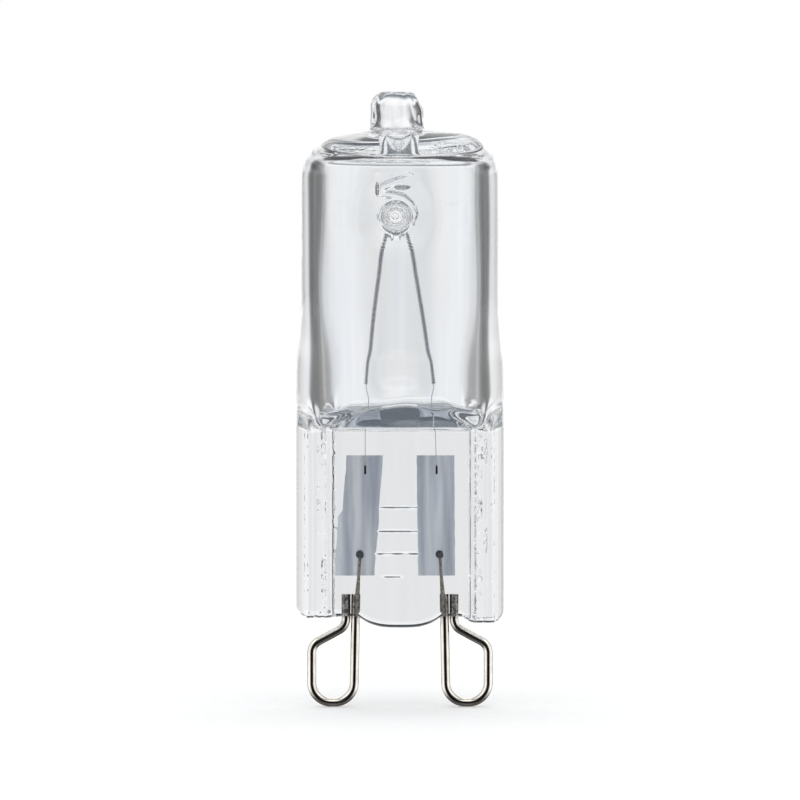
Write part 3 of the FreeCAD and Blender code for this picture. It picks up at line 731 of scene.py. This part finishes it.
def shapeInner(q):
    bm = spunShell(innerProfile(q), q["innerSteps"])
    bore = q["bore"]
    centre = (bore - q["ceilingRadius"], q["ceiling"] - q["ceilingRadius"])
    troughTop = q["floor"] + q["troughHeight"]
    waist = set()
    for vert in bm.verts:
        x, y, z = vert.co
        radius = math.hypot(x, y)
        column = closerInFront(q, math.atan2(y, x))
        x, y = radius * math.cos(column), radius * math.sin(column)
        if z <= troughTop:
            x, y, z = troughPoint(q, x, y, z, troughTop)
        elif nearDimple(q, x, z, radius, bore):
            x, y, z, inWaist = postPoint(q, x, y, z, centre)
            if inWaist:
                waist.add(vert)
        if q["floor"] + q["waverEnd"] < z < q["ceiling"] - q["waverEnd"]:
            x += waverAt(q, x, y, z) * x / bore
            y += waverAt(q, x, y, z) * y / bore
        vert.co = x, y, z
    plug = [face for face in bm.faces if all(vert in waist for vert in face.verts)]
    bmesh.ops.delete(bm, geom=plug, context="FACES")
    bmesh.ops.remove_doubles(bm, verts=bm.verts, dist=shellWeld)
    bmesh.ops.recalc_face_normals(bm, faces=bm.faces)
    bmesh.ops.reverse_faces(bm, faces=bm.faces)
    return bm


finishPiece(joined(shapeOuter(quartz), shapeInner(quartz)), "quartzEnvelope", quartzGlass,
            "quartz_envelope")


# Contact loops, bent from one wire each

loopWire = dict(
    radius=0.3, sides=28, bendSteps=14,
    stubTop=7.6, legTop=2.95, legInner=3.09, legOuter=5.91, returnLeg=3.61,
    bottom=0.3, knee=4.15, neck=5.4, loopBend=1.3, kneeBend=0.9,
)
runStep = 0.5            # length of one step along a straight run


def ofKind(items, kind):
    return [item for item in items if isinstance(item, kind)]


def bentWire(corners, bends, radius, sides, bendSteps):
    # Pushes a round section along straight runs and turns it round each bend. Corners are (x, z).
    points = [Vector((x, 0, z)) for x, z in corners]
    heading = (points[1] - points[0]).normalized()
    bm = bmesh.new()
    ring = bmesh.ops.create_circle(bm, cap_ends=True, segments=sides, radius=radius)["verts"]
    turn = Vector((0, 0, 1)).rotation_difference(heading).to_matrix().to_4x4()
    bmesh.ops.transform(bm, matrix=Matrix.Translation(points[0]) @ turn, verts=ring)
    tip = list({edge for vert in ring for edge in vert.link_edges})
    here = points[0]
    for index, bend in enumerate(bends + [0]):
        corner = points[index + 1]
        heading = (corner - points[index]).normalized()
        trim = 0
        if bend:
            after = (points[index + 2] - corner).normalized()
            angle = heading.angle(after)
            trim = bend * math.tan(angle / 2)
        target = corner - heading * trim
        lengths = max(1, round((target - here).length / runStep))
        step = (target - here) / lengths
        for _ in range(lengths):
            grown = bmesh.ops.extrude_edge_only(bm, edges=tip)["geom"]
            moved = ofKind(grown, bmesh.types.BMVert)
            bmesh.ops.translate(bm, verts=moved, vec=step)
            edges = ofKind(grown, bmesh.types.BMEdge)
            tip = [edge for edge in edges if all(vert in moved for vert in edge.verts)]
        here = target
        if bend:
            axis = heading.cross(after).normalized()
            centre = here + axis.cross(heading) * bend
            swept = bmesh.ops.spin(bm, geom=tip, cent=centre, axis=axis, dvec=(0, 0, 0), angle=angle,
                                   steps=bendSteps, use_merge=False, use_duplicate=False)
            tip = ofKind(swept["geom_last"], bmesh.types.BMEdge)
            here = corner + after * trim
    bmesh.ops.edgeloop_fill(bm, edges=tip)
    bmesh.ops.remove_doubles(bm, verts=bm.verts, dist=wireWeld)
    bmesh.ops.recalc_face_normals(bm, faces=bm.faces)
    return bm


def contactLoop(name, side, node, w=loopWire):
    corners = [(w["legTop"], w["stubTop"]), (w["legInner"], w["bottom"]), (w["legOuter"], w["bottom"]),
               (w["legOuter"], w["knee"]), (w["returnLeg"], w["neck"]), (w["returnLeg"], w["stubTop"])]
    bends = [w["loopBend"], w["loopBend"], w["kneeBend"], w["kneeBend"]]
    bm = bentWire([(side * x, z) for x, z in corners], bends, w["radius"], w["sides"], w["bendSteps"])
    finishPiece(bm, name, nickel, node)


contactLoop("leftContactLoop", -1, "left_contact_loop")
contactLoop("rightContactLoop", 1, "right_contact_loop")


# Lead pins, each with a weld nugget on its foil

leadPin = dict(
    radius=0.15, sides=16, bend=0.8, bendSteps=4, flattened=0.4,
    footX=2.85, topX=2.65, lap=6.2, lapY=-0.44, foot=7.58, lapTop=9.3, top=10.44,
    nugget=0.27, nuggetZ=10.25, nuggetCuts=3, nuggetRough=0.25, nuggetGrain=0.2, nuggetFlat=0.55,
)


def pinAxis(p, side, z):
    share = clamp((z - p["foot"]) / (p["top"] - p["foot"]))
    return side * lerp(p["footX"], p["topX"], share)


def leadPinPiece(name, side, node, p=leadPin):
    corners = [(side * p["footX"], p["lap"]), (side * p["footX"], p["foot"]), (side * p["topX"], p["top"])]
    bm = bentWire(corners, [p["bend"]], p["radius"], p["sides"], p["bendSteps"])
    for vert in bm.verts:
        thin = 1 - p["flattened"] * smoothStep(p["foot"], p["lapTop"], vert.co.z)
        axis = pinAxis(p, side, vert.co.z)
        vert.co.x = axis + (vert.co.x - axis) * thin
        vert.co.y += p["lapY"] * smoothStep(p["lapTop"], p["foot"], vert.co.z)
    blob = bmesh.ops.create_icosphere(bm, subdivisions=p["nuggetCuts"], radius=p["nugget"])["verts"]
    for vert in blob:
        vert.co *= 1 + p["nuggetRough"] * noise.noise(vert.co / p["nuggetGrain"])
        vert.co.y *= p["nuggetFlat"]
    middle = Vector((pinAxis(p, side, p["nuggetZ"]), 0, p["nuggetZ"]))
    bmesh.ops.translate(bm, verts=blob, vec=middle)
    finishPiece(bm, name, pinMetal, node)


leadPinPiece("leftLeadPin", -1, "left_lead_pin")
leadPinPiece("rightLeadPin", 1, "right_lead_pin")


# Sealing foils: thin rolled strips, slightly bowed

foilForm = dict(
    thickness=0.04, across=18, along=56, bow=0.17,
    ripple=0.03, rippleAcross=1.1, rippleAlong=2.6,
    nick=0.03, nickSize=0.6, nickFrom=0.42, nickSeed=3,
    # edges as (z, x), from the top down
    leftOuter=((16.9, -3.58), (13.3, -3.82), (12.7, -4.15), (8.8, -4.36)),
    leftInner=((16.9, -1.15), (13.1, -1.4), (8.8, -1.7)),
    rightInner=((16.9, 1.13), (8.8, 1.21)),
    rightOuter=((16.9, 3.63), (8.8, 3.67)),
    leftSeed=2.0, rightSeed=6.0,
)


def edgeAt(edge, z):
    for (upper, a), (lower, b) in zip(edge, edge[1:]):
        if z >= lower:
            return lerp(a, b, smoothStep(upper, lower, z))
    return edge[-1][1]


def foilPiece(name, node, low, high, seed, f=foilForm):
    # low and high are the edges towards -X and +X
    boxLow, boxHigh = boxInMm(node)
    middleY = (boxLow.y + boxHigh.y) / 2
    bm = bmesh.new()
    grid = bmesh.ops.create_grid(bm, x_segments=f["across"], y_segments=f["along"], size=0.5)["verts"]
    for vert in grid:
        u, v = vert.co.x, vert.co.y + 0.5
        z = lerp(boxLow.z, boxHigh.z, v)
        x = lerp(edgeAt(low, z), edgeAt(high, z), u + 0.5)
        nick = noiseAt(seed, z / f["nickSize"], math.copysign(f["nickSeed"], u))
        x += f["nick"] * nick * smoothStep(f["nickFrom"], 0.5, abs(u))
        y = middleY + f["bow"] * (2 * u) ** 2
        y += f["ripple"] * noiseAt(x / f["rippleAcross"], seed, z / f["rippleAlong"])
        vert.co = x, y, z
    bmesh.ops.recalc_face_normals(bm, faces=bm.faces)
    bmesh.ops.solidify(bm, geom=bm.faces[:], thickness=f["thickness"])
    finishPiece(bm, name, foilMetal, node)


foilPiece("leftFoil", "left_foil", foilForm["leftOuter"], foilForm["leftInner"], foilForm["leftSeed"])
foilPiece("rightFoil", "right_foil", foilForm["rightInner"], foilForm["rightOuter"], foilForm["rightSeed"])


# Filament: a coil over the post, with plain ends down to the foils

coil = dict(
    radius=0.16, wire=0.055, wireSides=6, pitch=0.155, stepsPerTurn=14,
    plane=0.08, coilBottom=21.65, leftX=-2.32, rightX=2.25, arch=0.73,
    tail=0.03, tailSides=10, tailLap=0.3, tailBottom=15.63, leftTailX=-2.33, rightTailX=2.45,
    weld=0.065, weldTop=16.2,
)


def coilPath(c, q):
    # the line of the coil's middle: centre of the arch, legs as (foot, touch point on the arch, its
    # angle), and how far the arch goes round; then the line's length
    centre = Vector((q["postX"], q["postZ"]))
    legs = []
    for side, x in ((-1, c["leftX"]), (1, c["rightX"])):
        foot = Vector((x, c["coilBottom"]))
        away = foot - centre
        turn = math.atan2(away.y, away.x) + side * math.acos(c["arch"] / away.length)
        touch = centre + c["arch"] * Vector((math.cos(turn), math.sin(turn)))
        legs.append((foot, touch, turn))
    left, right = legs
    sweep = (left[2] - right[2]) % (2 * math.pi)
    length = (left[1] - left[0]).length + sweep * c["arch"] + (right[0] - right[1]).length
    return (centre, left, right, sweep), length


def coilPoint(c, path, along):
    # place and direction on that line
    centre, (leftFoot, leftTouch, leftTurn), right, sweep = path
    rightFoot, rightTouch = right[:2]
    leftRun = (leftTouch - leftFoot).length
    archRun = sweep * c["arch"]
    if along < leftRun:
        ahead = (leftTouch - leftFoot).normalized()
        return leftFoot + ahead * along, ahead
    if along < leftRun + archRun:
        turn = leftTurn - (along - leftRun) / c["arch"]
        ahead = Vector((math.sin(turn), -math.cos(turn)))
        return centre + c["arch"] * Vector((math.cos(turn), math.sin(turn))), ahead
    ahead = (rightFoot - rightTouch).normalized()
    return rightTouch + ahead * (along - leftRun - archRun), ahead


def filamentPiece(c=coil, q=quartz):
    path, length = coilPath(c, q)
    turns = int(length / c["pitch"])
    steps = turns * c["stepsPerTurn"]
    bm = bmesh.new()
    ring = bmesh.ops.create_circle(bm, cap_ends=False, segments=c["wireSides"], radius=c["wire"])["verts"]
    stand = Matrix.Translation((c["radius"] - c["wire"], 0, 0)) @ Matrix.Rotation(math.pi / 2, 4, "X")
    bmesh.ops.transform(bm, matrix=stand, verts=ring)
    bmesh.ops.spin(bm, geom=bm.verts[:] + bm.edges[:], cent=(0, 0, 0), axis=(0, 0, 1),
                   dvec=(0, 0, length / steps), angle=2 * math.pi * turns, steps=steps,
                   use_merge=False, use_duplicate=False)
    for vert in bm.verts:
        spot, ahead = coilPoint(c, path, clamp(vert.co.z, 0, length))
        across = Vector((ahead.y, -ahead.x)) * vert.co.x
        vert.co = spot.x + across.x, c["plane"] + vert.co.y, spot.y + across.y
    bmesh.ops.holes_fill(bm, edges=[e for e in bm.edges if e.is_boundary], sides=c["wireSides"])
    bmesh.ops.recalc_face_normals(bm, faces=bm.faces)
    for topX, bottomX in ((c["leftX"], c["leftTailX"]), (c["rightX"], c["rightTailX"])):
        tailTop, weldTop = (topX, c["coilBottom"] + c["tailLap"]), (bottomX, c["weldTop"])
        for top, radius in ((tailTop, c["tail"]), (weldTop, c["weld"])):
            end = bentWire([top, (bottomX, c["tailBottom"])], [], radius, c["tailSides"], 1)
            bmesh.ops.translate(end, verts=end.verts, vec=(0, c["plane"], 0))
            joined(bm, end)
    finishPiece(bm, "filamentCoil", tungsten, "filament")


filamentPiece()


# Floor, light and camera

studio = dict(
    floorSize=1.2, floorCells=8, floorShade="#f6f7f8", floorLight="#fafbfb",
    floorGrain=0.8, floorDetail=2.0, floorRough=0.9,
    distance=0.5, elevation=2.5, aimZ=20.57, spanMm=53.5, sensor=36.0, clipStart=0.01,
)


def makeFloor(s=studio):
    # Matt white board: even and pale, with the faintest grain. Glass and metal don't show it.
    bm = bmesh.new()
    cells = s["floorCells"]
    bmesh.ops.create_grid(bm, x_segments=cells, y_segments=cells, size=s["floorSize"] / 2)
    mesh = bpy.data.meshes.new("studioFloor")
    bm.to_mesh(mesh)
    bm.free()
    floor = bpy.data.objects.new("studioFloor", mesh)
    bpy.context.scene.collection.objects.link(floor)
    material, tree, shader, place = newMaterial("matBoard")
    grain = noiseNode(tree, place, s["floorGrain"], s["floorDetail"])
    shade = shadeNode(tree, grain, usualSpan, s["floorShade"], s["floorLight"])
    tree.links.new(shade, shader.inputs["Base Color"])
    shader.inputs["Roughness"].default_value = s["floorRough"]
    shader.inputs["Specular IOR Level"].default_value = 0.0
    mesh.materials.append(material)
    floor.visible_glossy = False
    floor.visible_transmission = False


# Greys run from 0 to 255. Turns are degrees round from straight behind the bulb, lifts are degrees
# above eye level, and spans are parts of the way out to the side or to the back.
studioRoom = dict(
    softLight=(1.14, 1.14, 1.14, 1.0),
    # grey flags at both sides of the white panel behind, by turn, and where they end, by lift
    ring=((-180, 245), (-166, 215), (-152, 110), (-140, 215), (-120, 252), (-62, 250), (-55, 142),
          (-44, 94), (-32, 87), (-26, 142), (-22, 226), (-16, 255), (-7, 255), (-3, 247), (3, 247),
          (7, 255), (16, 255), (22, 226), (26, 142), (33, 92), (46, 94), (55, 144), (62, 250),
          (120, 252), (140, 215), (152, 110), (166, 215), (180, 245)),
    flagEnds=((-15, 255), (-10, 0), (12, 0), (30, 255)),
    # the panel is a little greyer at eye level
    panel=((-9, 255), (-6, 243), (1, 243), (4, 255)),
    # table behind the bulb
    table=((-78, "#ffffff"), (-66, "#565e66"), (-29, "#656d75"), (-24, "#848c93"), (-18, "#ffffff")),
    tableSpan=(-0.25, 0.05),
    # dark room above the panel, which reaches further to the sides higher up
    dark="#2c3036", darkSpan=(0.1, 0.3),
    narrowLift=((18, 0), (22, 255), (55, 255), (60, 0)), narrowSpan=(0.26, 0.16),
    wideLift=((23, 0), (28, 255), (51, 255), (55, 0)), wideSpan=(0.62, 0.5),
    # dark towards the camera, by turn, with light above and a grey table below
    front=((-180, 20), (-150, 30), (-138, 255), (0, 255), (138, 255), (150, 30), (180, 20)),
    openLift=(22, 34), underLift=(-18, -42), under=((-90, 96), (-40, 104), (-14, 120), (-4, 255)),
)


def shadeOf(value):
    # a colour from its hex code, or a grey from 0 to 255
    return toLinear(value if isinstance(value, str) else "#" + f"{value:02x}" * 3)


def byAngle(tree, angle, half, stops):
    # shades round a full or half turn, from -half to half degrees
    placed = [((degrees + half) / (2 * half), shadeOf(shade)) for degrees, shade in stops]
    return rampNode(tree, angle, placed)


def liftSpan(tree, height, span):
    return rangeNode(tree, height, math.radians(span[0]), math.radians(span[1]))


def makeWorld(s=studioRoom):
    # Clear glass shows a white panel behind it with grey flags beside it, a dark room above and a grey
    # table. Bare metal shows the flags, a dark side towards the camera, light above and a grey table.
    # Matt things get plain soft light, and the camera sees plain white.
    world = bpy.data.worlds.new("studioRoom")
    bpy.context.scene.world = world
    world.use_nodes = True
    tree = world.node_tree
    tree.nodes.clear()
    coords = addNode(tree, "ShaderNodeTexCoord")
    split = addNode(tree, "ShaderNodeSeparateXYZ", links={"Vector": coords.outputs["Generated"]})
    across, along, up = split.outputs["X"], split.outputs["Y"], split.outputs["Z"]
    turn = rangeNode(tree, mathNode(tree, "ARCTAN2", across, along), -math.pi, math.pi)
    height = mathNode(tree, "ARCSINE", up)
    lift = rangeNode(tree, height, -math.pi / 2, math.pi / 2)
    soft, white = s["softLight"], shadeOf(255)
    # what glass shows
    ring = byAngle(tree, turn, 180, s["ring"])
    flags = mixNode(tree, byAngle(tree, lift, 90, s["flagEnds"]), ring, white)
    panel = mixNode(tree, 1.0, flags, byAngle(tree, lift, 90, s["panel"]), "MULTIPLY")
    table = byAngle(tree, lift, 90, s["table"])
    room = mixNode(tree, rangeNode(tree, along, *s["tableSpan"]), panel, table, "MULTIPLY")
    aside = mathNode(tree, "ABSOLUTE", across)
    darkParts = []
    for name in ("narrow", "wide"):
        inside = rangeNode(tree, aside, *s[name + "Span"])
        darkParts.append(mathNode(tree, "MULTIPLY", inside, byAngle(tree, lift, 90, s[name + "Lift"])))
    behind = rangeNode(tree, along, *s["darkSpan"])
    dark = mathNode(tree, "MULTIPLY", mathNode(tree, "MAXIMUM", *darkParts), behind)
    room = mixNode(tree, dark, room, shadeOf(s["dark"]))
    # what bare metal shows
    front = byAngle(tree, turn, 180, s["front"])
    facing = mixNode(tree, liftSpan(tree, height, s["openLift"]), front, soft)
    under = byAngle(tree, lift, 90, s["under"])
    sides = mixNode(tree, liftSpan(tree, height, s["underLift"]), facing, under)
    mirrored = mixNode(tree, 1.0, mixNode(tree, 1.0, sides, ring, "MULTIPLY"), soft, "MULTIPLY")
    path = addNode(tree, "ShaderNodeLightPath")
    bare = mixNode(tree, path.outputs["Is Glossy Ray"], soft, mirrored)
    through = mixNode(tree, path.outputs["Is Transmission Ray"], bare, room)
    seen = mixNode(tree, path.outputs["Is Camera Ray"], through, white)
    light = addNode(tree, "ShaderNodeBackground", inputs={"Strength": 1.0}, links={"Color": seen})
    addNode(tree, "ShaderNodeOutputWorld", links={"Surface": light.outputs["Background"]})
    world.cycles.sampling_method = "NONE"


def makeCamera(s=studio):
    data = bpy.data.cameras.new("photoCamera")
    data.sensor_width = s["sensor"]
    data.lens = s["sensor"] * s["distance"] / (s["spanMm"] * mm)
    data.clip_start = s["clipStart"]
    camera = bpy.data.objects.new("photoCamera", data)
    bpy.context.scene.collection.objects.link(camera)
    tilt = math.radians(s["elevation"])
    aim = Vector((0, 0, s["aimZ"] * mm))
    camera.location = aim + s["distance"] * Vector((0, -math.cos(tilt), math.sin(tilt)))
    camera.rotation_euler = (aim - camera.location).to_track_quat("-Z", "Y").to_euler()
    bpy.context.scene.camera = camera


makeFloor()
makeWorld()
makeCamera()
bpy.context.scene.view_settings.view_transform = "Standard"
# light is mirrored many times inside clear glass
bpy.context.scene.cycles.max_bounces = 40
bpy.context.scene.cycles.glossy_bounces = 32
bpy.context.scene.cycles.transmission_bounces = 40
print("stage ready")
